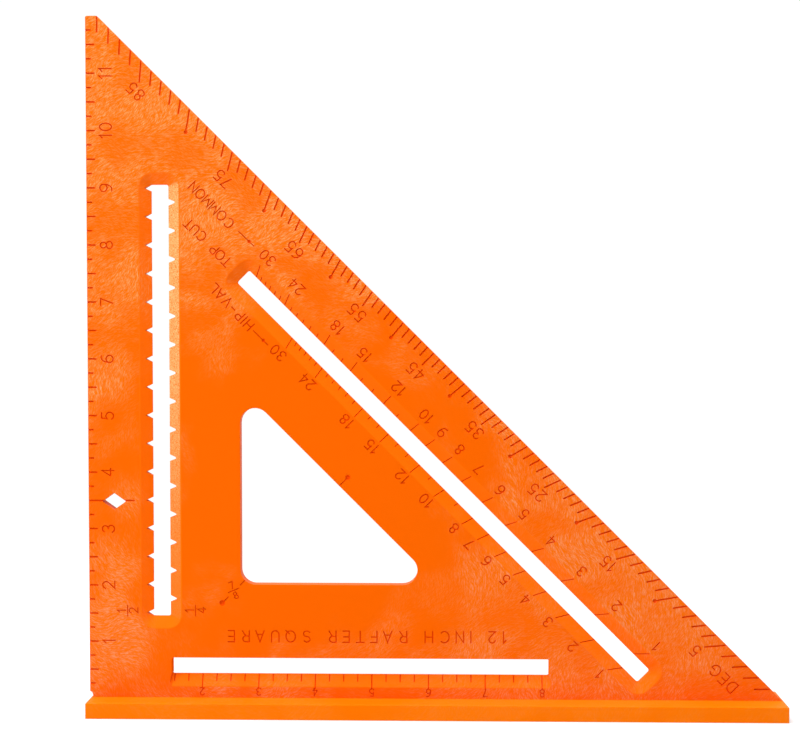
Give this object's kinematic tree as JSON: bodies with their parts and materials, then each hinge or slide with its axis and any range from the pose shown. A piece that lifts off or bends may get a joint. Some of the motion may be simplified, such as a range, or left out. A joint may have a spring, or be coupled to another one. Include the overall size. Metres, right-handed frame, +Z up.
{
  "type": "speed square",
  "caption": "Right-triangle rafter square standing on a wide fence, with bevelled marking slots, a notched scribing slot, a triangular window and a diamond sight hole.",
  "frame": {"origin": "middle of the underside of the fence, on the surface that the square stands on", "axes": "+X along the fence from the pivot corner to the point of the blade, +Z up the straight edge, +Y out of the back of the blade, so the marked face looks towards -Y"},
  "size_m": [0.3104, 0.0318, 0.3116],
  "materials": {
    "blade_plastic": "moulded orange plastic with flowing pale fibre streaks",
    "fence_plastic": "moulded orange plastic with flowing pale fibre streaks"
  },
  "bodies": {
    "root": {"blade": "blade_plastic", "fence": "fence_plastic"}
  },
  "joints": []
}
